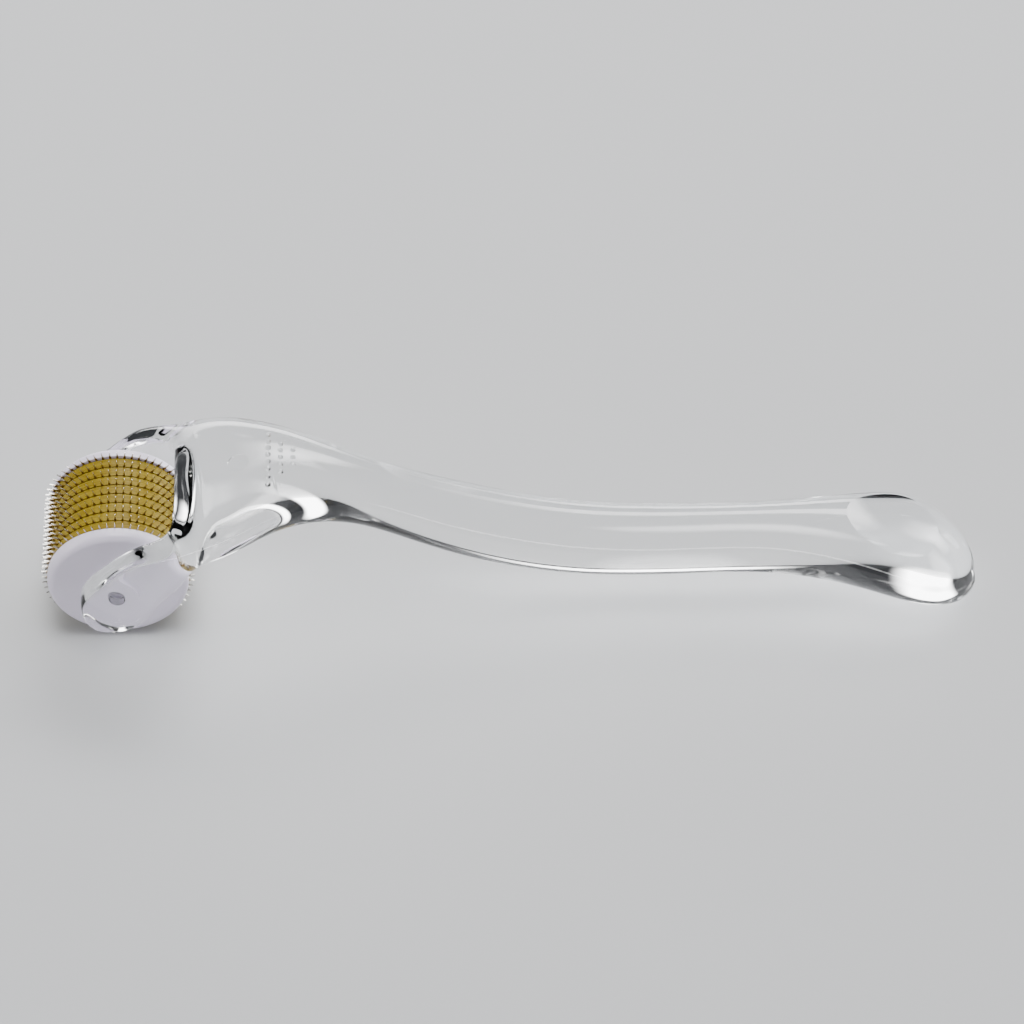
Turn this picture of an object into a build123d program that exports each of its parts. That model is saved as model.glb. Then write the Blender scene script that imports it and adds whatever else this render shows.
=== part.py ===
"""Derma roller: one clear moulded handle whose fork carries a free-running needle drum.

Millimetres, +Z up. X runs from the drum to the tail of the handle and Y is the drum's axis.
The roller lies as it does on a table: the needle tips and the tail's bulb touch Z = 0, and
the origin is on that surface, under the middle of the whole roller.
"""
import os
from math import atan2, cos, pi, sin

from build123d import *

os.makedirs("parts", exist_ok=True)

# ---- drum ------------------------------------------------------------------------------
TIP_RADIUS = 11.48          # drum axis to the needle tips
NEEDLE_LENGTH = 1.28        # needle that stands out of the amber rings
NEEDLE_ROOT_WIDTH = 0.42    # width of a needle where it leaves its disc
NEEDLE_TIP_WIDTH = 0.04
NEEDLE_GULLET = 0.25        # depth of the gaps between needles below the rings' surface
DISC_THICKNESS = 0.20
NEEDLES_PER_DISC = 60
DISC_COUNT = 9
SPACER_THICKNESS = 1.634
CORE_FLATS = 9.0            # across the flats of the six-sided core
CORE_BORE = 5.0
KEY_CLEARANCE = 0.03        # between the core's flats and what is threaded on it

# ---- end caps --------------------------------------------------------------------------
CAP_LIP = 0.40              # how far the caps stand out over the rings
CAP_RIM = 0.75              # straight width of the rim beside the first ring
CAP_ROUND = 1.15            # rounding between the rim and the outer face
CAP_BOSS_RADIUS = 3.2
CAP_BOSS_HEIGHT = 0.45
CAP_HUB_LENGTH = 3.2        # hub that plugs into the core's bore
HUB_CLEARANCE = 0.02

# ---- fork ------------------------------------------------------------------------------
PEG_DIAMETER = 2.36
PEG_LENGTH = 2.60
PEG_CLEARANCE = 0.05        # radial running clearance in the cap's bore
PEG_END_CLEARANCE = 0.50
SIDE_CLEARANCE = 0.30       # cap boss to the inside of an arm
NEEDLE_CLEARANCE = 2.70     # needle tips to the bottom of the slot between the arms
ARM_THICKNESS = 4.60
ARM_END_RADIUS = 5.50
ARM_NECK_RADIUS = 3.30
ARM_OUTER_ROUND = 1.90
ARM_INNER_ROUND = 0.70
ARM_ANGLE = 43.0            # slope of the arms, up and back from the drum
ARM_ROOT = 1.0              # how far an arm runs into the head, past the slot
SLOT_CORNER = 6.0

# ---- handle: its lengths, measured from the bottom of the slot -------------------------
HEAD_START = -2.0           # the head begins in front of the slot's bottom, beside it
NECK = 28.6                 # narrowest place, behind the head
HANDLE_LENGTH = 120.1
BULB_LENGTH = 11.5          # the end of the bulb, where it closes
HEAD_INSET = 0.50           # step from an arm's outside to the head's widest place
HEAD_STATIONS = 6
SECTION_POINTS = 24
GRIP_STATIONS = 14
BULB_WIDTH_POWER = 2.3
BULB_THICKNESS_POWER = 1.7

# ---- details moulded on the handle -----------------------------------------------------
DIMPLE_FROM_TAIL = 12.3     # middle of the thumb dimple
DIMPLE_RADIUS = 30.0
DIMPLE_DEPTH = 2.2
GRIP_DOT_RADIUS = 0.42
GRIP_DOT_HEIGHT = 0.32
GRIP_DOT_ROUND = 0.26
GRIP_DOT_ROOT = 1.6         # a dot's whole height, most of it inside the head
GRIP_DOT_PITCH = 1.45
GRIP_DOT_ROW_PITCH = 1.85
GRIP_DOT_ROWS = [8, 5, 3]   # dots in each row, from the head towards the grip
GRIP_DOTS_AT = 12.5         # first row, from the slot
MARK_AT = 8.0               # round pin mark on top of the head, from the slot
MARK_DIAMETER = 3.3
MARK_DEPTH = 0.12

# ---- places worked out from the sizes above --------------------------------------------
RING_RADIUS = TIP_RADIUS - NEEDLE_LENGTH
CAP_RADIUS = RING_RADIUS + CAP_LIP
DISC_PITCH = DISC_THICKNESS + SPACER_THICKNESS
STACK_HALF = ((DISC_COUNT - 1) * DISC_PITCH + DISC_THICKNESS) / 2
CAP_FACE = STACK_HALF + CAP_RIM + CAP_ROUND
BOSS_FACE = CAP_FACE + CAP_BOSS_HEIGHT
ARM_INNER = BOSS_FACE + SIDE_CLEARANCE
ARM_OUTER = ARM_INNER + ARM_THICKNESS
PEG_END = ARM_INNER - PEG_LENGTH
SLOT_DEPTH = TIP_RADIUS + NEEDLE_CLEARANCE
SLOPE = ARM_ANGLE * pi / 180
DRUM_X = (TIP_RADIUS - SLOT_DEPTH * cos(SLOPE) - HANDLE_LENGTH) / 2
DRUM_Z = TIP_RADIUS
SLOT_X = DRUM_X + SLOT_DEPTH * cos(SLOPE)
SLOT_Z = DRUM_Z + SLOT_DEPTH * sin(SLOPE)
BULB = HANDLE_LENGTH - BULB_LENGTH


def on_grip(share):
    """Distance from the slot of a place on the grip: 0 at the neck and 1 where the bulb closes."""
    return NECK + share * (BULB - NECK)


# The handle's centre line, as its height over the slot's bottom, and its half sizes.
CENTRE_LINE = [(HEAD_START, -1.9), (5.6, 1.95), (14.6, 3.75), (23.6, 1.95), (on_grip(0.075), -3.25),
               (on_grip(0.225), -7.75), (on_grip(0.39), -10.65), (on_grip(0.56), -11.15),
               (on_grip(0.74), -10.95), (on_grip(0.89), -11.75), (BULB, -13.6), (HANDLE_LENGTH, -18.75)]
HALF_WIDTH = [(HEAD_START, ARM_OUTER - HEAD_INSET), (5.6, ARM_OUTER - 2.6 * HEAD_INSET), (13.6, 9.9),
              (21.6, 6.6), (NECK, 5.3), (on_grip(0.225), 5.7), (on_grip(0.5), 5.6),
              (on_grip(0.725), 5.4), (on_grip(0.85), 6.9), (BULB, 9.95)]
HALF_THICKNESS = [(HEAD_START, 4.1), (13.6, 4.4), (NECK, 5.1), (on_grip(0.225), 5.6),
                  (on_grip(0.5), 5.3), (on_grip(0.725), 5.2), (on_grip(0.89), 5.8), (BULB, 6.3)]
SQUARENESS = [(HEAD_START, 3.4), (5.6, 3.0), (13.6, 2.3), (NECK, 2.0), (BULB, 2.0)]


def through(points, x):
    """Value at x of the smooth curve through the points, level beyond the last one."""
    last = len(points) - 2
    if x >= points[-1][0]:
        return points[-1][1]
    i = max(0, sum(1 for point in points if point[0] <= x) - 1)

    def slope(k):
        a, b = points[max(k - 1, 0)], points[min(k + 1, last + 1)]
        return (b[1] - a[1]) / (b[0] - a[0])

    (x0, y0), (x1, y1) = points[i], points[i + 1]
    span = x1 - x0
    t = (x - x0) / span
    return (y0 * (2 * t**3 - 3 * t**2 + 1) + y1 * (3 * t**2 - 2 * t**3)
            + span * (slope(i) * (t**3 - 2 * t**2 + t) + slope(i + 1) * (t**3 - t**2)))


def bulb(x, power):
    """How far the bulb has closed at x: 1 where it starts and 0 at the tail."""
    share = max(0.0, (x - BULB) / BULB_LENGTH)
    return max(0.0, 1 - share**power) ** (1 / power)


def half_width(x):
    return through(HALF_WIDTH, x) * bulb(x, BULB_WIDTH_POWER)


def half_thickness(x):
    return through(HALF_THICKNESS, x) * bulb(x, BULB_THICKNESS_POWER)


def top_of_handle(x, y=0.0):
    """Height of the handle's upper surface at x from the slot and y from the middle."""
    power = through(SQUARENESS, x)
    rise = max(0.0, 1 - abs(y / half_width(x)) ** power) ** (1 / power)
    return SLOT_Z + through(CENTRE_LINE, x) + half_thickness(x) * rise


def handle_stations():
    """Distances from the slot at which the head, grip and bulb take a section."""
    head = [HEAD_START + (NECK - HEAD_START) * i / HEAD_STATIONS for i in range(HEAD_STATIONS)]
    grip = [on_grip(i / GRIP_STATIONS) for i in range(GRIP_STATIONS)]
    tail = [BULB + BULB_LENGTH * sin(angle * pi / 180) for angle in (0, 18, 36, 52, 66, 78, 85, 88.5)]
    return head + grip + tail


def section(x):
    """The handle's section at x: an oval, squarer at the head, where it takes in the arms."""
    power = 2 / through(SQUARENESS, x)
    points = []
    for i in range(SECTION_POINTS):
        turn = 2 * pi * i / SECTION_POINTS
        y = half_width(x) * abs(cos(turn)) ** power * (1 if cos(turn) > 0 else -1)
        z = half_thickness(x) * abs(sin(turn)) ** power * (1 if sin(turn) > 0 else -1)
        points.append((SLOT_X + x, y, SLOT_Z + through(CENTRE_LINE, x) + z))
    return make_face(Spline(points, periodic=True))


def head_and_grip():
    return loft([section(x) for x in handle_stations()])


def fork_plane(side_view):
    """The fork's own plane through the drum's axis, or the side view square to that axis."""
    along = Vector(cos(SLOPE), 0, sin(SLOPE))
    normal = Vector(0, -1, 0) if side_view else Vector(-sin(SLOPE), 0, cos(SLOPE))
    return Plane(origin=(DRUM_X, 0, DRUM_Z), x_dir=along, z_dir=normal)


def arm(side):
    """One arm: a flat bar that widens to a round end at the peg, rounded along its outside."""
    neck = Pos(SLOT_DEPTH + ARM_ROOT, 0) * Circle(ARM_NECK_RADIUS)
    outline = make_hull((Circle(ARM_END_RADIUS) + neck).edges())
    bar = extrude(outline, ARM_THICKNESS)
    inside, outside = (-1, 0) if side > 0 else (0, -1)
    faces = bar.edges().group_by(Axis.Z)
    bar = fillet(faces[outside], ARM_OUTER_ROUND)
    bar = fillet(bar.edges().group_by(Axis.Z)[inside], ARM_INNER_ROUND)
    near = -ARM_OUTER if side > 0 else ARM_INNER
    return fork_plane(side_view=True) * Pos(0, 0, near) * bar


def fork_slot():
    """The space between the arms, square to the fork and rounded at its bottom."""
    reach = 3 * ARM_END_RADIUS
    outline = Rectangle(SLOT_DEPTH + reach, 2 * ARM_INNER)
    outline = fillet(outline.vertices().group_by(Axis.X)[-1], SLOT_CORNER)
    cutter = extrude(outline, 2 * reach, both=True)
    return fork_plane(side_view=False) * Pos((SLOT_DEPTH - reach) / 2, 0, 0) * cutter


def grip_dots():
    dots = []
    for row, count in enumerate(GRIP_DOT_ROWS):
        x = GRIP_DOTS_AT + row * GRIP_DOT_ROW_PITCH
        for i in range(count):
            y = (i - (count - 1) / 2) * GRIP_DOT_PITCH
            top = top_of_handle(x, y) + GRIP_DOT_HEIGHT
            pin = Pos(SLOT_X + x, y, top - GRIP_DOT_ROOT / 2) * Cylinder(GRIP_DOT_RADIUS, GRIP_DOT_ROOT)
            dots.append(fillet(pin.edges().group_by(Axis.Z)[-1], GRIP_DOT_ROUND))
    return dots


def thumb_dimple():
    """A ball that sinks into the top of the bulb, square to the surface there."""
    x = HANDLE_LENGTH - DIMPLE_FROM_TAIL
    fall = atan2(top_of_handle(x - 1) - top_of_handle(x + 1), 2)
    reach = DIMPLE_RADIUS - DIMPLE_DEPTH
    middle = (SLOT_X + x + reach * sin(fall), 0, top_of_handle(x) + reach * cos(fall))
    return Pos(*middle) * Sphere(DIMPLE_RADIUS)


def handle():
    body = head_and_grip() - fork_slot() + arm(1) + arm(-1)
    for side in (1, -1):
        root = ARM_INNER + ARM_THICKNESS / 2
        body += (Pos(DRUM_X, side * (PEG_END + root) / 2, DRUM_Z) * Rot(90, 0, 0)
                 * Cylinder(PEG_DIAMETER / 2, root - PEG_END))
    body -= thumb_dimple()
    mark_floor = top_of_handle(MARK_AT) - MARK_DEPTH
    body -= Pos(SLOT_X + MARK_AT, 0, mark_floor + MARK_DIAMETER / 2) * Cylinder(MARK_DIAMETER / 2, MARK_DIAMETER)
    return body + grip_dots()


def on_drum(shape, y):
    """Turns a shape drawn on the XY plane so that its +Z is the drum's axis, and sets it at y."""
    return Pos(DRUM_X, y, DRUM_Z) * Rot(-90, 0, 0) * shape


def key_hole(clearance, length):
    across = CORE_FLATS / 2 + clearance
    return extrude(RegularPolygon(across, 6, major_radius=False), length)


def needle_disc():
    """A flat steel star: a keyed plate with its needles standing out of the rim."""
    root = RING_RADIUS - NEEDLE_GULLET
    points = []
    for i in range(NEEDLES_PER_DISC):
        middle = 2 * pi * i / NEEDLES_PER_DISC
        for radius, width in ((root, -NEEDLE_ROOT_WIDTH), (TIP_RADIUS, -NEEDLE_TIP_WIDTH),
                              (TIP_RADIUS, NEEDLE_TIP_WIDTH), (root, NEEDLE_ROOT_WIDTH)):
            turn = middle + width / 2 / radius
            points.append((radius * cos(turn), radius * sin(turn)))
    plate = extrude(make_face(Polyline(points, close=True)), DISC_THICKNESS)
    return plate - key_hole(KEY_CLEARANCE, DISC_THICKNESS)


def spacer():
    ring = extrude(Circle(RING_RADIUS), SPACER_THICKNESS)
    return ring - key_hole(KEY_CLEARANCE, SPACER_THICKNESS)


def drum_core():
    length = 2 * STACK_HALF
    return key_hole(0.0, length) - extrude(Circle(CORE_BORE / 2), length)


def end_cap():
    """A cap drawn outwards from the stack: rim, boss, hub and the blind bore for the peg."""
    depth = CAP_FACE - STACK_HALF
    plate = extrude(Circle(CAP_RADIUS), depth)
    plate = fillet(plate.edges().group_by(Axis.Z)[-1], CAP_ROUND)
    plate += extrude(Circle(CAP_BOSS_RADIUS), BOSS_FACE - STACK_HALF)
    hub_radius = CORE_BORE / 2 - HUB_CLEARANCE
    plate += extrude(Circle(hub_radius), -CAP_HUB_LENGTH)
    bore_floor = PEG_END - PEG_END_CLEARANCE - STACK_HALF
    bore = extrude(Circle(PEG_DIAMETER / 2 + PEG_CLEARANCE), BOSS_FACE - STACK_HALF - bore_floor)
    return plate - Pos(0, 0, bore_floor) * bore


nodes = {"handle": handle(), "drum_core": on_drum(drum_core(), -STACK_HALF)}
nodes["end_cap_left"] = on_drum(end_cap(), STACK_HALF)
nodes["end_cap_right"] = nodes["end_cap_left"].mirror(Plane.XZ)
for number in range(DISC_COUNT):
    place = number * DISC_PITCH - STACK_HALF
    nodes[f"needle_disc_{number + 1}"] = on_drum(needle_disc(), place)
    if number < DISC_COUNT - 1:
        nodes[f"spacer_ring_{number + 1}"] = on_drum(spacer(), place + DISC_THICKNESS)

for name, shape in nodes.items():
    export_step(shape, f"parts/{name}.step")
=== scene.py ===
"""Derma roller: the looks of a clear moulded handle and its free-running needle drum.

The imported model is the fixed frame. Lengths are in metres, +X runs from the drum to the tail of
the handle, Y is the drum's axis and +Z is up from the surface that the roller lies on.
"""

import logging
import math
from dataclasses import dataclass, field
from enum import Enum
from typing import Callable

import bmesh
import bpy
from mathutils import Matrix, Vector


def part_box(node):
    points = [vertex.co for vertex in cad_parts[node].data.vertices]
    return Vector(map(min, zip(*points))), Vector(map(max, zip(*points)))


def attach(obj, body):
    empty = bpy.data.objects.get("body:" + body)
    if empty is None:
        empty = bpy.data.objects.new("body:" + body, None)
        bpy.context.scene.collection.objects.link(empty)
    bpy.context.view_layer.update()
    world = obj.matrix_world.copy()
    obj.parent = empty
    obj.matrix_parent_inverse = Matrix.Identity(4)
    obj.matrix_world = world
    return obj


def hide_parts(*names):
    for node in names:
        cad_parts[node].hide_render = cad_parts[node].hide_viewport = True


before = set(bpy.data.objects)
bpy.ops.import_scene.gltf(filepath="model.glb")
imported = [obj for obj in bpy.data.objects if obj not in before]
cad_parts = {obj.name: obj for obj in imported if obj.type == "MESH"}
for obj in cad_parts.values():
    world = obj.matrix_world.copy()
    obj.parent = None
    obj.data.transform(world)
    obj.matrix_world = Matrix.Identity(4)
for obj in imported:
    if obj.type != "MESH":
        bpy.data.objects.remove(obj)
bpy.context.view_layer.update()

LOG = logging.getLogger("derma_roller")
MM = 0.001
FINE = 0.00001


class Slot(Enum):
    """The record's material slots."""

    CLEAR = "clear_plastic"
    WHITE = "white_plastic"
    AMBER = "amber_plastic"
    STEEL = "needle_steel"
    CORE = "core_plastic"


class Body(Enum):
    """The bodies that pieces ride on."""

    HANDLE = "handle"
    DRUM = "drum"


# ---- node and mesh helpers ---------------------------------------------------------------


@dataclass
class NodeSheet:
    """A material's node tree with short ways to add and join nodes."""

    material: bpy.types.Material

    def add(self, kind: str, **settings: object) -> bpy.types.Node:
        """Adds a node.

        Args:
            kind: the node's type name.
            settings: attributes of the node to set.

        Returns:
            The new node.
        """
        node = self.material.node_tree.nodes.new(kind)
        for name, value in settings.items():
            setattr(node, name, value)
        return node

    def join(self, source: bpy.types.NodeSocket, target: bpy.types.NodeSocket) -> None:
        """Links an output to an input."""
        self.material.node_tree.links.new(source, target)

    def noise(self, scale: float, detail: float = 3.0, stretch: tuple[float, float, float] = (1, 1, 1)
              ) -> bpy.types.NodeSocket:
        """Adds a noise pattern fixed to the piece.

        Args:
            scale: how many blobs there are to a metre.
            detail: how many finer layers the noise has.
            stretch: scale of the pattern along X, Y and Z.

        Returns:
            The pattern's value, from 0 to 1.
        """
        place = self.add("ShaderNodeTexCoord")
        mapping = self.add("ShaderNodeMapping")
        mapping.inputs["Scale"].default_value = stretch
        noise = self.add("ShaderNodeTexNoise")
        noise.inputs["Scale"].default_value = scale
        noise.inputs["Detail"].default_value = detail
        self.join(place.outputs["Object"], mapping.inputs["Vector"])
        self.join(mapping.outputs["Vector"], noise.inputs["Vector"])
        return noise.outputs["Fac"]

    def spread(self, value: bpy.types.NodeSocket, low: float, high: float) -> bpy.types.NodeSocket:
        """Maps a pattern's middle range onto another range.

        Args:
            value: the pattern.
            low: what its darker parts become.
            high: what its lighter parts become.

        Returns:
            The mapped value.
        """
        node = self.add("ShaderNodeMapRange")
        node.inputs["From Min"].default_value = 0.3
        node.inputs["From Max"].default_value = 0.7
        node.inputs["To Min"].default_value = low
        node.inputs["To Max"].default_value = high
        self.join(value, node.inputs["Value"])
        return node.outputs["Result"]

    def tint(self, value: bpy.types.NodeSocket, first: tuple[float, float, float],
             second: tuple[float, float, float]) -> bpy.types.NodeSocket:
        """Blends two colours by a pattern.

        Args:
            value: the pattern.
            first: the colour where the pattern is low.
            second: the colour where the pattern is high.

        Returns:
            The blended colour.
        """
        ramp = self.add("ShaderNodeValToRGB")
        ramp.color_ramp.elements[0].position = 0.3
        ramp.color_ramp.elements[0].color = (*first, 1)
        ramp.color_ramp.elements[1].position = 0.7
        ramp.color_ramp.elements[1].color = (*second, 1)
        self.join(value, ramp.inputs["Fac"])
        return ramp.outputs["Color"]

    def bump(self, value: bpy.types.NodeSocket, height: float, strength: float = 1.0
             ) -> bpy.types.NodeSocket:
        """Raises a pattern as a bump.

        Args:
            value: the pattern.
            height: its full height in metres.
            strength: how much of the bump shows.

        Returns:
            The bumped normal.
        """
        node = self.add("ShaderNodeBump")
        node.inputs["Distance"].default_value = height
        node.inputs["Strength"].default_value = strength
        self.join(value, node.inputs["Height"])
        return node.outputs["Normal"]


def new_sheet(name: str) -> tuple[NodeSheet, bpy.types.Node]:
    """Makes a material with one Principled shader.

    Args:
        name: the material's name.

    Returns:
        The material's node sheet and its shader.
    """
    material = bpy.data.materials.new(name)
    material.use_nodes = True
    sheet = NodeSheet(material)
    return sheet, material.node_tree.nodes["Principled BSDF"]


def set_inputs(shader: bpy.types.Node, **values: object) -> None:
    """Sets inputs of a shader by name, with underscores for spaces."""
    for name, value in values.items():
        shader.inputs[name.replace("_", " ")].default_value = value


# ---- finishes ----------------------------------------------------------------------------


@dataclass(frozen=True)
class ClearMoulding:
    """Water-white moulded plastic: polished, with the slight flow waves of a thick moulding."""

    name: str = "clear_moulding"
    colour: tuple[float, float, float] = (0.985, 0.992, 0.995)
    refraction: float = 1.49
    polish: tuple[float, float] = (0.004, 0.02)
    wave_height: float = 0.02 * MM
    shadow: tuple[float, float, float] = (0.87, 0.88, 0.89)

    def build(self) -> bpy.types.Material:
        """Returns the material."""
        sheet, shader = new_sheet(self.name)
        set_inputs(shader, Transmission_Weight=1.0, IOR=self.refraction)
        tone = tuple(0.985 * c for c in self.colour)
        sheet.join(sheet.tint(sheet.noise(40), tone, self.colour), shader.inputs["Base Color"])
        sheet.join(sheet.spread(sheet.noise(300), *self.polish), shader.inputs["Roughness"])
        waves = sheet.bump(sheet.noise(70, 1, (0.5, 1, 1)), self.wave_height, 0.6)
        sheet.join(waves, shader.inputs["Normal"])
        path = sheet.add("ShaderNodeLightPath")
        through = sheet.add("ShaderNodeBsdfTransparent")
        through.inputs["Color"].default_value = (*self.shadow, 1)
        mix = sheet.add("ShaderNodeMixShader")
        output = sheet.material.node_tree.nodes["Material Output"]
        sheet.join(path.outputs["Is Shadow Ray"], mix.inputs["Fac"])
        sheet.join(shader.outputs["BSDF"], mix.inputs[1])
        sheet.join(through.outputs["BSDF"], mix.inputs[2])
        sheet.join(mix.outputs["Shader"], output.inputs["Surface"])
        return sheet.material


@dataclass(frozen=True)
class WhiteCap:
    """White moulded plastic with a cool cast and a satin skin."""

    name: str = "white_cap"
    colour: tuple[float, float, float] = (0.69, 0.64, 0.755)
    shade: tuple[float, float, float] = (0.64, 0.595, 0.705)

    def build(self) -> bpy.types.Material:
        """Returns the material."""
        sheet, shader = new_sheet(self.name)
        set_inputs(shader, Subsurface_Weight=0.25, Subsurface_Radius=(1, 0.9, 1),
                   Subsurface_Scale=0.9 * MM)
        sheet.join(sheet.tint(sheet.noise(120), self.shade, self.colour), shader.inputs["Base Color"])
        sheet.join(sheet.spread(sheet.noise(900), 0.28, 0.4), shader.inputs["Roughness"])
        sheet.join(sheet.bump(sheet.noise(4000, 2), 0.004 * MM), shader.inputs["Normal"])
        return sheet.material


@dataclass(frozen=True)
class AmberRing:
    """Translucent amber plastic with a fine turned skin round the drum."""

    name: str = "amber_ring"
    deep: tuple[float, float, float] = (0.15, 0.095, 0.003)
    pale: tuple[float, float, float] = (0.27, 0.20, 0.02)

    def build(self) -> bpy.types.Material:
        """Returns the material."""
        sheet, shader = new_sheet(self.name)
        set_inputs(shader, Subsurface_Weight=0.3, Subsurface_Radius=(1, 0.7, 0.15),
                   Subsurface_Scale=1.2 * MM, Specular_IOR_Level=0.1)
        sheet.join(sheet.tint(sheet.noise(600, 4, (0.25, 5, 0.25)), self.deep, self.pale),
                   shader.inputs["Base Color"])
        sheet.join(sheet.spread(sheet.noise(1500), 0.3, 0.45), shader.inputs["Roughness"])
        turned = sheet.noise(600, 2, (0.4, 8, 0.4))
        sheet.join(sheet.bump(turned, 0.02 * MM), shader.inputs["Normal"])
        return sheet.material


@dataclass(frozen=True)
class NeedleSteel:
    """Thin bright steel with a fine rolled grain, with a painted amber-cast shade where it leaves the rings.
    """

    axis: Vector
    name: str = "needle_steel"
    bright: tuple[float, float, float] = (0.62, 0.60, 0.57)
    # painted shade: this dark amber colour stands in for the shade and amber bounce light near and between
    # the rings
    painted_ring_shade: tuple[float, float, float] = (0.20, 0.125, 0.04)
    painted_shade_from: float = 10.2 * MM
    painted_shade_to: float = 11.4 * MM

    def build(self) -> bpy.types.Material:
        """Returns the material."""
        sheet, shader = new_sheet(self.name)
        set_inputs(shader, Metallic=1.0)
        place = sheet.add("ShaderNodeTexCoord")
        outwards = sheet.add("ShaderNodeMapping")
        outwards.inputs["Location"].default_value = (-self.axis.x, 0, -self.axis.z)
        outwards.inputs["Scale"].default_value = (1, 0, 1)
        radius = sheet.add("ShaderNodeVectorMath", operation="LENGTH")
        # painted shade: the steel is dark amber below the given radius, where it sits among the rings, and
        # bright steel beyond it
        share = sheet.add("ShaderNodeMapRange")
        share.inputs["From Min"].default_value = self.painted_shade_from
        share.inputs["From Max"].default_value = self.painted_shade_to
        sheet.join(place.outputs["Object"], outwards.inputs["Vector"])
        sheet.join(outwards.outputs["Vector"], radius.inputs[0])
        sheet.join(radius.outputs["Value"], share.inputs["Value"])
        sheet.join(sheet.tint(share.outputs["Result"], self.painted_ring_shade, self.bright), shader.inputs["Base Color"])
        sheet.join(sheet.spread(sheet.noise(2500), 0.18, 0.34), shader.inputs["Roughness"])
        sheet.join(sheet.bump(sheet.noise(3000, 2, (1, 1, 6)), 0.004 * MM), shader.inputs["Normal"])
        return sheet.material


@dataclass(frozen=True)
class CorePlastic:
    """Plain moulded plastic of the hidden core."""

    name: str = "core_plastic"
    colour: tuple[float, float, float] = (0.62, 0.60, 0.55)

    def build(self) -> bpy.types.Material:
        """Returns the material."""
        sheet, shader = new_sheet(self.name)
        tone = tuple(0.9 * c for c in self.colour)
        sheet.join(sheet.tint(sheet.noise(300), tone, self.colour), shader.inputs["Base Color"])
        sheet.join(sheet.spread(sheet.noise(1200), 0.4, 0.55), shader.inputs["Roughness"])
        return sheet.material


# ---- drum --------------------------------------------------------------------------------


def drum_axis() -> Vector:
    """Returns the middle of the drum."""
    low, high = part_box("end_cap_left")
    return Vector(((low[0] + high[0]) / 2, 0, (low[2] + high[2]) / 2))


@dataclass
class Drum:
    """The needle drum: caps, rings, discs and core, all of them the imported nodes."""

    caps: WhiteCap = field(default_factory=WhiteCap)
    rings: AmberRing = field(default_factory=AmberRing)
    core: CorePlastic = field(default_factory=CorePlastic)

    def build(self) -> None:
        """Dresses the drum's nodes in their finishes."""
        finishes = {
            "end_cap_": self.caps.build(),
            "spacer_ring_": self.rings.build(),
            "needle_disc_": NeedleSteel(drum_axis()).build(),
            "drum_core": self.core.build(),
        }
        for name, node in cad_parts.items():
            for start, material in finishes.items():
                if name.startswith(start):
                    dress(node, material)
                    LOG.info("dressed %s in %s", name, material.name)


def dress(piece: bpy.types.Object, material: bpy.types.Material) -> None:
    """Puts one material on every slot of a piece."""
    if not piece.material_slots:
        piece.data.materials.append(material)
    for slot in piece.material_slots:
        slot.material = material


# ---- handle ------------------------------------------------------------------------------


class Curve:
    """A smooth curve through a few points, level beyond the last one."""

    def __init__(self, *points: tuple[float, float]) -> None:
        """Keeps the points, in order of their place."""
        self.points = points

    def slope(self, k: int) -> float:
        """Returns the curve's slope at its point number k."""
        before, after = self.points[max(k - 1, 0)], self.points[min(k + 1, len(self.points) - 1)]
        return (after[1] - before[1]) / (after[0] - before[0])

    def at(self, x: float) -> float:
        """Reads the curve.

        Args:
            x: the place along the curve.

        Returns:
            The curve's value there.
        """
        if x >= self.points[-1][0]:
            return self.points[-1][1]
        i = max(0, sum(1 for point in self.points if point[0] <= x) - 1)
        (x0, y0), (x1, y1) = self.points[i], self.points[i + 1]
        span = x1 - x0
        t = (x - x0) / span
        return (y0 * (2 * t**3 - 3 * t**2 + 1) + y1 * (3 * t**2 - 2 * t**3)
                + span * (self.slope(i) * (t**3 - 2 * t**2 + t) + self.slope(i + 1) * (t**3 - t**2)))


def everywhere(place: Vector) -> bool:
    """Wants every place."""
    return True


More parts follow.
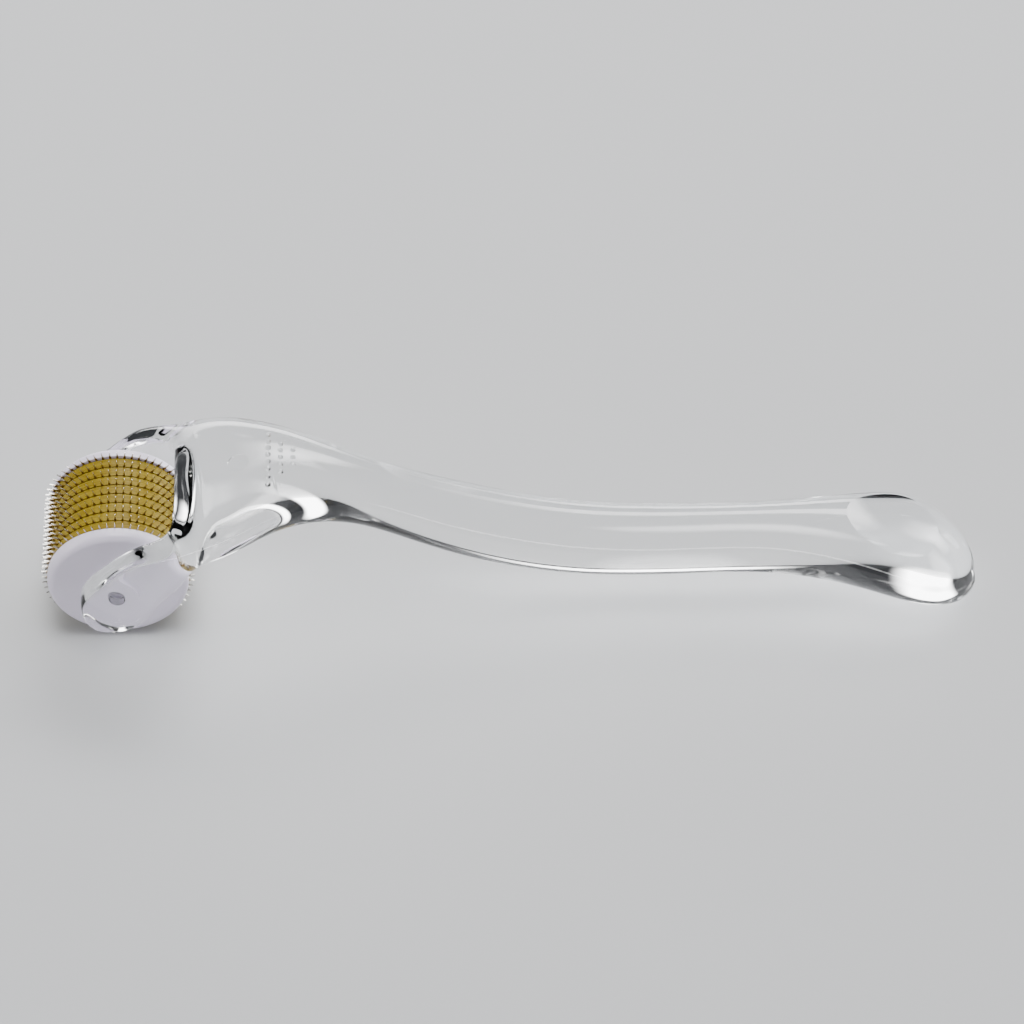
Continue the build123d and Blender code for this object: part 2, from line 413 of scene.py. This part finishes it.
@dataclass
class Cage:
    """A mesh in edit mode, modelled ring by ring for a subdivision surface."""

    name: str

    def __post_init__(self) -> None:
        """Starts the mesh empty and goes into edit mode."""
        deselect()
        self.piece = bpy.data.objects.new(self.name, bpy.data.meshes.new(self.name))
        bpy.context.scene.collection.objects.link(self.piece)
        bpy.context.view_layer.objects.active = self.piece
        self.piece.select_set(True)
        bpy.ops.object.mode_set(mode="EDIT")

    def pick(self, wanted: Callable[[Vector], bool], among: set[int] | None = None) -> None:
        """Selects vertices, and the edges and faces between them, by their place.

        Args:
            wanted: says of a vertex's place whether it is selected.
            among: the vertices to choose from, or None for them all.
        """
        bpy.ops.mesh.select_mode(type="VERT")
        bpy.ops.mesh.select_all(action="DESELECT")
        mesh = bmesh.from_edit_mesh(self.piece.data)
        for vertex in mesh.verts:
            if (among is None or vertex.index in among) and wanted(vertex.co):
                vertex.select_set(True)
        mesh.select_flush_mode()
        mesh.select_flush(True)
        bmesh.update_edit_mesh(self.piece.data)

    def picked(self, wanted: Callable[[Vector], bool]) -> set[int]:
        """Returns the numbers of the vertices at the wanted places."""
        mesh = bmesh.from_edit_mesh(self.piece.data)
        return {vertex.index for vertex in mesh.verts if wanted(vertex.co)}

    def pick_edges(self, wanted: Callable[[Vector, Vector], bool]) -> None:
        """Selects edges by the places of their two ends."""
        bpy.ops.mesh.select_mode(type="EDGE")
        bpy.ops.mesh.select_all(action="DESELECT")
        mesh = bmesh.from_edit_mesh(self.piece.data)
        for edge in mesh.edges:
            if wanted(edge.verts[0].co, edge.verts[1].co):
                edge.select_set(True)
        bmesh.update_edit_mesh(self.piece.data)

    def ring(self, vertices: int, place: Vector, slope: float, half_width: float,
             half_thickness: float, square: Callable[[float], float]) -> set[int]:
        """Adds an oval ring that stands square to a slope.

        Args:
            vertices: how many vertices the ring has.
            place: the ring's middle.
            slope: the slope in radians of the line that the ring is square to.
            half_width: half its size along Y.
            half_thickness: half its size across the slope.
            square: how square the section is towards the given Y, 0 for an oval and 1 for a box.

        Returns:
            The ring's vertex numbers.
        """
        mesh = bmesh.from_edit_mesh(self.piece.data)
        first = len(mesh.verts)
        bpy.ops.mesh.select_all(action="DESELECT")
        bpy.ops.mesh.primitive_circle_add(vertices=vertices, radius=1, rotation=(0, math.pi / 2, 0))
        ring = set(range(first, first + vertices))
        for i in range(vertices):
            turn = 2 * math.pi * i / vertices
            y, z = math.cos(turn), math.sin(turn)
            if min(abs(y), abs(z)) > FINE and square(y) > 0:
                self.pick(everywhere, {first + i})
                push = (1, abs(y) ** -square(y), abs(z) ** -square(y))
                bpy.ops.transform.resize(value=push, center_override=(0, 0, 0))
        self.pick(everywhere, ring)
        bpy.ops.transform.resize(value=(1, half_width, half_thickness), center_override=(0, 0, 0))
        bpy.ops.transform.rotate(value=slope, orient_axis="Y", center_override=(0, 0, 0))
        bpy.ops.transform.translate(value=place)
        return ring

    def bridge(self, first: set[int], second: set[int]) -> None:
        """Joins two rings by faces."""
        self.pick(everywhere, first | second)
        bpy.ops.mesh.bridge_edge_loops()

    def close(self, ring: set[int], span: int) -> None:
        """Fills a ring with a grid of faces.

        Args:
            ring: the ring's vertices.
            span: how many faces the grid has along one side.
        """
        self.pick(everywhere, ring)
        bpy.ops.mesh.fill_grid(span=span)

    def done(self, levels: int) -> bpy.types.Object:
        """Leaves edit mode and smooths the mesh.

        Args:
            levels: how often the mesh is subdivided.

        Returns:
            The finished piece.
        """
        bpy.ops.mesh.select_all(action="SELECT")
        bpy.ops.mesh.normals_make_consistent(inside=False)
        bpy.ops.object.mode_set(mode="OBJECT")
        smooth = self.piece.modifiers.new("smooth", "SUBSURF")
        smooth.levels = smooth.render_levels = levels
        bpy.ops.object.modifier_apply(modifier=smooth.name)
        return self.piece


def settle() -> None:
    """Puts the active object's place and turn into its mesh."""
    bpy.ops.object.transform_apply(location=True, rotation=True, scale=True)


def round_edges(piece: bpy.types.Object, wanted: Callable[[Vector, Vector], bool], width: float,
                segments: int) -> None:
    """Bevels some edges of the active piece.

    Args:
        piece: the piece.
        wanted: says of an edge's two ends whether it is bevelled.
        width: the bevel's width in metres.
        segments: how many steps the rounding has.
    """
    bpy.ops.object.mode_set(mode="EDIT")
    bpy.ops.mesh.select_mode(type="EDGE")
    bpy.ops.mesh.select_all(action="DESELECT")
    mesh = bmesh.from_edit_mesh(piece.data)
    for edge in mesh.edges:
        edge.select_set(wanted(edge.verts[0].co, edge.verts[1].co))
    bmesh.update_edit_mesh(piece.data)
    bpy.ops.mesh.bevel(offset=width, segments=segments, profile=0.5)
    bpy.ops.object.mode_set(mode="OBJECT")


def combine(piece: bpy.types.Object, others: list[bpy.types.Object], how: str) -> None:
    """Adds other shapes to a piece or cuts them out of it.

    Args:
        piece: the piece, which stays.
        others: the shapes, which are used up.
        how: UNION or DIFFERENCE.
    """
    deselect()
    for other in others:
        other.select_set(True)
    bpy.context.view_layer.objects.active = others[0]
    bpy.ops.object.join()
    tool = bpy.context.object
    deselect()
    piece.select_set(True)
    bpy.context.view_layer.objects.active = piece
    change = piece.modifiers.new("combine", "BOOLEAN")
    change.operation, change.object, change.solver = how, tool, "EXACT"
    change.use_self = False
    bpy.ops.object.modifier_apply(modifier=change.name)
    bpy.data.objects.remove(tool)


@dataclass
class Handle:
    """The clear moulding: bulb, grip and head in one, with a fork that carries the drum's pegs.

    Its lengths are in millimetres. Places along it are measured from the bottom of the fork's
    slot, and arm places from the drum's axis, up the fork's slope.
    """

    finish: ClearMoulding = field(default_factory=ClearMoulding)
    slot_depth: float = 14.18
    arm_angle: float = 43.0
    arm_inner: float = 10.09
    arm_outer: float = 14.69
    arm_radius: float = 5.6
    peg_radius: float = 1.18
    peg_end: float = 7.49
    peg_round: float = 0.2
    bulb_start: float = 108.6
    bulb_length: float = 11.5
    width_power: float = 2.3
    thickness_power: float = 1.7
    dimple_at: float = 107.8
    dimple_radius: float = 30
    dimple_depth: float = 2.2
    dot_radius: float = 0.42
    dot_pitch: float = 1.45
    dot_row_pitch: float = 1.85
    dot_rows: tuple[int, ...] = (8, 5, 3)
    dots_at: float = 12.5
    mark_at: float = 8
    mark_radius: float = 1.65
    mark_depth: float = 0.12
    mark_round: float = 0.06
    mark_cutter: float = 2.0
    swell: float = 1.016
    levels: int = 3
    body_sides: int = 20
    arm_sides: int = 8
    arm_square_inside: float = 1.12
    arm_square_outside: float = 0.9
    arm_from: float = 8.0
    slot_bulge: float = 1.2
    grip_from: float = 28.0
    grip_rings: int = 12
    lean: Curve = Curve((0, 43), (3.2, 31), (6.5, 20), (11, 8), (16, 0))
    centre: Curve = Curve((-2, -1.6), (0, 0), (5.6, 1.95), (14.6, 3.75), (23.6, 1.95), (34.6, -3.25),
                          (46.6, -7.75), (59.8, -10.65), (73.4, -11.15), (87.8, -10.95),
                          (99.8, -11.75), (108.6, -13.6), (120.1, -18.75))
    half_width: Curve = Curve((-2, 14.25), (5.6, 13.4), (13.6, 9.9), (21.6, 6.7), (28.6, 5.25),
                              (40, 5.7), (68.6, 5.6), (86.6, 5.4), (96.6, 6.9), (108.6, 9.95))
    half_thickness: Curve = Curve((-2, 4.3), (13.6, 4.3), (28.6, 5.0), (46.6, 5.6), (68.6, 5.3),
                                  (86.6, 5.2), (99.8, 5.8), (108.6, 6.3))
    square: Curve = Curve((0, 0.26), (5.6, 0.26), (13.6, 0.12), (28.6, 0))
    arm_centre: Curve = Curve((-6, 0), (0, 0), (5.6, 0.8), (8.5, 0.75), (11.2, 0.55), (14.2, 0))
    arm_half: Curve = Curve((-1, 5.6), (0, 5.6), (5.6, 4.9), (8.5, 4.65), (11.2, 4.35), (14.2, 4.0))

    def __post_init__(self) -> None:
        """Works out where the drum's axis and the slot are."""
        self.axis = drum_axis()
        self.slope = math.radians(self.arm_angle)
        self.along = Vector((math.cos(self.slope), 0, math.sin(self.slope)))
        self.across = Vector((-math.sin(self.slope), 0, math.cos(self.slope)))
        self.slot = self.axis + self.along * self.slot_depth * MM

    def closing(self, x: float, power: float) -> float:
        """Says how far the bulb has closed.

        Args:
            x: the place along the handle.
            power: how square the end is, 2 for round.

        Returns:
            1 before the bulb closes, down to 0 at the tail.
        """
        share = max(0.0, (x - self.bulb_start) / self.bulb_length)
        return max(0.0, 1 - share**power) ** (1 / power)

    def stations(self) -> list[float]:
        """Returns the places of the rings from the slot to the tail."""
        head = [0, 3.2, 6.5, 10, 14, 18.5, 23, self.grip_from]
        grip = [self.grip_from + i * (self.bulb_start - self.grip_from) / self.grip_rings
                for i in range(1, self.grip_rings + 1)]
        tail = [self.bulb_start + self.bulb_length * math.sin(math.radians(turn))
                for turn in (20, 38, 54, 67, 77)]
        return head + grip + tail

    def body_ring(self, cage: Cage, x: float) -> set[int]:
        """Adds the ring at a place along the handle.

        Args:
            cage: the cage to add it to.
            x: the place along the handle.

        Returns:
            The ring's vertices.
        """
        lean = math.radians(self.lean.at(x))
        middle = self.slot + Vector((x, 0, self.centre.at(x))) * MM
        width = self.half_width.at(x) * self.closing(x, self.width_power) * self.swell * MM
        thickness = self.half_thickness.at(x) * self.closing(x, self.thickness_power) * self.swell * MM
        return cage.ring(self.body_sides, middle, lean, width, thickness * math.cos(lean / 2),
                         lambda y: self.square.at(x))

    def arm_ring(self, cage: Cage, s: float, side: int, half: float) -> set[int]:
        """Adds a ring of an arm.

        Args:
            cage: the cage to add it to.
            s: the place along the arm.
            side: 1 for the left arm and -1 for the right one.
            half: the arm's half depth there.

        Returns:
            The ring's vertices.
        """
        middle = self.axis + (self.along * s + self.across * self.arm_centre.at(s)) * MM
        middle.y = side * (self.arm_inner + self.arm_outer) / 2 * MM
        width = (self.arm_outer - self.arm_inner) / 2 * MM
        return cage.ring(self.arm_sides, middle, self.slope, width, half * MM,
                         lambda y: self.arm_square_inside if y * side < 0 else self.arm_square_outside)

    def open_fork(self, cage: Cage, ring: set[int]) -> None:
        """Closes the head's front with the slot's wall, split into faces so that raise_arm can open each
        arm's root.

        Args:
            cage: the cage to work on.
            ring: the head's first ring.
        """
        start = min(ring)
        cage.pick(everywhere, ring)
        bpy.ops.mesh.edge_face_add()
        for k in range(3, 8):
            cage.pick(everywhere, {start + k, start + self.body_sides - k})
            bpy.ops.mesh.vert_connect()
        inside = (self.arm_inner + 1) * MM
        cage.pick_edges(lambda a, b: self.at_slot(a) and self.at_slot(b) and abs(a.y) < inside
                        and abs(a.y - b.y) < FINE and (a - b).length > 2 * MM)
        bpy.ops.mesh.subdivide(number_cuts=1)
        cage.pick(lambda place: self.at_slot(place) and self.arm_from * MM < abs(place.y) < inside)
        bpy.ops.transform.translate(value=-self.along * self.slot_bulge * MM)

    def at_slot(self, place: Vector) -> bool:
        """Says whether a place is in the plane of the slot's bottom."""
        return abs((place - self.slot).dot(self.along)) < 0.02 * MM

    def raise_arm(self, cage: Cage, side: int) -> None:
        """Models one arm from the head to its round end.

        Args:
            cage: the cage to work on.
            side: 1 for the left arm and -1 for the right one.
        """
        root = self.arm_from * MM
        front = (self.slot_depth - 2) * MM
        back = front + 2.1 * MM
        reach = 16 * MM

        def at_root(place: Vector) -> bool:
            """Says whether a place is on the head's front, where the arm starts."""
            return side * place.y > root and front < (place - self.axis).dot(self.along) < back

        cage.pick(lambda place: at_root(place) and (place - self.slot).length < reach)
        bpy.ops.mesh.delete(type="ONLY_FACE")
        last = cage.picked(at_root)
        turned = [(-self.arm_radius * math.sin(math.radians(a)), self.arm_radius * math.cos(math.radians(a)))
                  for a in (24, 45, 63, 77)]
        for s, half in [(s, self.arm_half.at(s)) for s in (9.6, 7.2, 4.8, 2.4, 0)] + turned:
            ring = self.arm_ring(cage, s, side, half)
            cage.bridge(last, ring)
            last = ring
        cage.close(last, 2)

    def place_on_top(self, piece: bpy.types.Object, x: float, y: float) -> tuple[Vector, Vector]:
        """Finds a place on the handle's upper surface.

        Args:
            piece: the handle.
            x: the place along the handle, from the slot.
            y: the place across it.

        Returns:
            The point on the surface and the surface's normal there.
        """
        above = self.slot + Vector((x, y, 100)) * MM
        _, point, normal, _ = piece.ray_cast(above, Vector((0, 0, -1)))
        return point, normal

    def pegs(self) -> list[bpy.types.Object]:
        """Returns the two pegs that the drum turns on, each with a rounded end."""
        pegs = []
        root = (self.arm_inner + self.arm_outer) / 2
        for side in (1, -1):
            middle = self.axis + Vector((0, side * (self.peg_end + root) / 2, 0)) * MM
            deselect()
            bpy.ops.mesh.primitive_cylinder_add(vertices=64, radius=self.peg_radius * MM,
                                                depth=(root - self.peg_end) * MM, location=middle,
                                                rotation=(math.pi / 2, 0, 0))
            settle()
            round_edges(bpy.context.object, lambda a, b: abs(a.y - b.y) < FINE
                        and abs(abs(a.y) - self.peg_end * MM) < FINE, self.peg_round * MM, 3)
            pegs.append(bpy.context.object)
        return pegs

    def grip_dots(self, piece: bpy.types.Object) -> list[bpy.types.Object]:
        """Returns the low round dots in front of the neck.

        Args:
            piece: the handle, on whose surface they stand.
        """
        deselect()
        bpy.ops.mesh.primitive_uv_sphere_add(segments=20, ring_count=12, radius=self.dot_radius * MM)
        first = bpy.context.object
        dots = []
        for row, count in enumerate(self.dot_rows):
            for i in range(count):
                x = self.dots_at + row * self.dot_row_pitch
                point, normal = self.place_on_top(piece, x, (i - (count - 1) / 2) * self.dot_pitch)
                dot = bpy.data.objects.new("dot", first.data.copy())
                turn = normal.to_track_quat("Z", "Y").to_matrix().to_4x4()
                dot.data.transform(Matrix.Translation(point) @ turn)
                bpy.context.scene.collection.objects.link(dot)
                dots.append(dot)
        bpy.data.objects.remove(first)
        return dots

    def pin_mark(self, piece: bpy.types.Object) -> bpy.types.Object:
        """Returns the cutter of the round pin mark on top of the head."""
        point, normal = self.place_on_top(piece, self.mark_at, 0)
        middle = point + normal * (self.mark_cutter / 2 - self.mark_depth) * MM
        turn = normal.to_track_quat("Z", "Y")
        deselect()
        bpy.ops.mesh.primitive_cylinder_add(vertices=72, radius=self.mark_radius * MM,
                                            depth=self.mark_cutter * MM,
                                            location=middle, rotation=turn.to_euler())
        settle()
        near = 0.2 * MM
        round_edges(bpy.context.object, lambda a, b: abs((a - point).dot(normal)) < near
                    and abs((b - point).dot(normal)) < near, self.mark_round * MM, 2)
        return bpy.context.object

    def thumb_dimple(self, piece: bpy.types.Object) -> bpy.types.Object:
        """Returns the cutter of the thumb dimple, the lowest part of a large ball."""
        point, normal = self.place_on_top(piece, self.dimple_at, 0)
        middle = point + normal * (self.dimple_radius - self.dimple_depth) * MM
        deselect()
        bpy.ops.mesh.primitive_uv_sphere_add(segments=128, ring_count=200, radius=self.dimple_radius * MM,
                                             location=middle,
                                             rotation=normal.to_track_quat("Z", "Y").to_euler())
        settle()
        bpy.ops.object.mode_set(mode="EDIT")
        bpy.ops.mesh.select_all(action="SELECT")
        bpy.ops.mesh.bisect(plane_co=point + normal * 2 * MM, plane_no=normal, clear_outer=True,
                            use_fill=True)
        bpy.ops.object.mode_set(mode="OBJECT")
        return bpy.context.object

    def build(self) -> bpy.types.Object:
        """Models the handle and dresses it.

        Returns:
            The finished handle.
        """
        cage = Cage("clear_handle")
        rings = [self.body_ring(cage, x) for x in self.stations()]
        for first, second in zip(rings, rings[1:]):
            cage.bridge(first, second)
        cage.close(rings[-1], 5)
        self.open_fork(cage, rings[0])
        for side in (1, -1):
            self.raise_arm(cage, side)
        piece = cage.done(self.levels)
        combine(piece, self.pegs() + self.grip_dots(piece), "UNION")
        combine(piece, [self.pin_mark(piece), self.thumb_dimple(piece)], "DIFFERENCE")
        dress(piece, self.finish.build())
        deselect()
        piece.select_set(True)
        bpy.context.view_layer.objects.active = piece
        bpy.ops.object.shade_smooth_by_angle(angle=math.radians(13))
        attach(piece, Body.HANDLE.value)
        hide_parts("handle")
        LOG.info("modelled %s: %d faces", piece.name, len(piece.data.polygons))
        return piece


# ---- studio ------------------------------------------------------------------------------


@dataclass
class Softbox:
    """A rectangular soft light that fades towards its edges."""

    name: str
    place: tuple[float, float, float]
    aim: tuple[float, float, float]
    size: tuple[float, float]
    power: float

    def build(self) -> None:
        """Adds the light."""
        data = bpy.data.lights.new(self.name, "AREA")
        data.shape = "RECTANGLE"
        data.size, data.size_y = self.size
        data.energy = self.power
        self.soften(data)
        lamp = bpy.data.objects.new(self.name, data)
        bpy.context.scene.collection.objects.link(lamp)
        lamp.location = self.place
        direction = Vector(self.aim) - Vector(self.place)
        lamp.rotation_euler = direction.to_track_quat("-Z", "Y").to_euler()

    def soften(self, data: bpy.types.Light) -> None:
        """Makes the light fade smoothly from its middle to its edges.

        Args:
            data: the light.
        """
        data.use_nodes = True
        nodes, links = data.node_tree.nodes, data.node_tree.links
        across = nodes.new("ShaderNodeNewGeometry")
        parts = nodes.new("ShaderNodeSeparateXYZ")
        links.new(across.outputs["Parametric"], parts.inputs["Vector"])
        shares = []
        for axis in ("X", "Y"):
            off = nodes.new("ShaderNodeMath")
            off.operation = "SUBTRACT"
            off.inputs[1].default_value = 0.5
            links.new(parts.outputs[axis], off.inputs[0])
            far = nodes.new("ShaderNodeMath")
            far.operation = "ABSOLUTE"
            links.new(off.outputs["Value"], far.inputs[0])
            fade = nodes.new("ShaderNodeMapRange")
            fade.interpolation_type = "SMOOTHSTEP"
            for name, value in (("From Min", 0.5), ("From Max", 0.15), ("To Min", 0), ("To Max", 1)):
                fade.inputs[name].default_value = value
            links.new(far.outputs["Value"], fade.inputs["Value"])
            shares.append(fade.outputs["Result"])
        both = nodes.new("ShaderNodeMath")
        both.operation = "MULTIPLY"
        links.new(shares[0], both.inputs[0])
        links.new(shares[1], both.inputs[1])
        links.new(both.outputs["Value"], nodes["Emission"].inputs["Strength"])


@dataclass
class Studio:
    """The pale floor, the soft lights and the camera."""

    floor_size: float = 3.0
    floor_colour: tuple[float, float, float] = (0.46, 0.465, 0.475)
    surround: tuple[float, float, float] = (0.05, 0.052, 0.056)
    target: tuple[float, float, float] = (-0.15 * MM, 0.95 * MM, 15.4 * MM)
    distance: float = 0.755
    azimuth: float = 2.41
    elevation: float = 46.94
    roll: float = 0.954
    lens: float = 175.8

    def build(self) -> None:
        """Builds the floor, the lights and the camera."""
        self.lay_floor()
        self.set_surround()
        self.hang_lights()
        self.place_camera()

    def lay_floor(self) -> None:
        """Lays a plain pale floor under the roller."""
        deselect()
        bpy.ops.mesh.primitive_plane_add(size=self.floor_size)
        floor = bpy.context.object
        floor.name = "floor"
        sheet, shader = new_sheet("pale_floor")
        pale = tuple(0.97 * c for c in self.floor_colour)
        sheet.join(sheet.tint(sheet.noise(9), pale, self.floor_colour), shader.inputs["Base Color"])
        set_inputs(shader, Roughness=0.6)
        dress(floor, sheet.material)

    def set_surround(self) -> None:
        """Sets the dim, even light of the room."""
        world = bpy.data.worlds.new("studio")
        world.use_nodes = True
        world.node_tree.nodes["Background"].inputs["Color"].default_value = (*self.surround, 1)
        bpy.context.scene.world = world

    def hang_lights(self) -> None:
        """Hangs the soft boxes: each with its name, place, aim, size and power."""
        for box in (
            Softbox("overhead", (-0.05, -0.05, 0.80), (0, 0, 0), (0.6, 0.45), 16.0),
            Softbox("left", (-0.75, -0.15, 0.35), (0, 0, 0), (0.4, 0.6), 8.0),
            Softbox("right", (0.8, 0.12, 0.22), (0, 0, 0.02), (0.5, 0.4), 6.0),
            Softbox("back_high", (0.06, 0.62, 0.58), (0.02, 0, 0.01), (0.9, 0.3), 14.0),
            Softbox("back_low", (-0.1, 0.85, 0.16), (0, 0, 0.02), (1.0, 0.24), 9.0),
            Softbox("back_right", (0.62, 0.5, 0.22), (-0.05, 0, 0.02), (0.35, 0.45), 7.0),
            Softbox("front_strip", (0.0, -0.7, 0.22), (0, 0, 0.01), (1.1, 0.08), 3.0),
        ):
            box.build()

    def place_camera(self) -> None:
        """Sets the camera on its viewing angle."""
        azimuth, elevation = math.radians(self.azimuth), math.radians(self.elevation)
        forward = Vector((math.sin(azimuth) * math.cos(elevation),
                          math.cos(azimuth) * math.cos(elevation), -math.sin(elevation)))
        level = Vector((math.cos(azimuth), -math.sin(azimuth), 0))
        right = Matrix.Rotation(-math.radians(self.roll), 3, forward) @ level
        up = right.cross(forward)
        data = bpy.data.cameras.new("camera")
        data.lens = self.lens
        data.clip_start = 0.01
        camera = bpy.data.objects.new("camera", data)
        bpy.context.scene.collection.objects.link(camera)
        turn = Matrix((right, up, -forward)).transposed().to_4x4()
        camera.matrix_world = Matrix.Translation(Vector(self.target) - forward * self.distance) @ turn
        bpy.context.scene.camera = camera


def deselect() -> None:
    """Deselects every object."""
    for item in bpy.context.selected_objects:
        item.select_set(False)


def main() -> None:
    """Builds the roller's looks and the studio."""
    logging.basicConfig(level=logging.INFO, format="%(name)s: %(message)s")
    Drum().build()
    Handle().build()
    Studio().build()


if __name__ == "__main__":
    main()
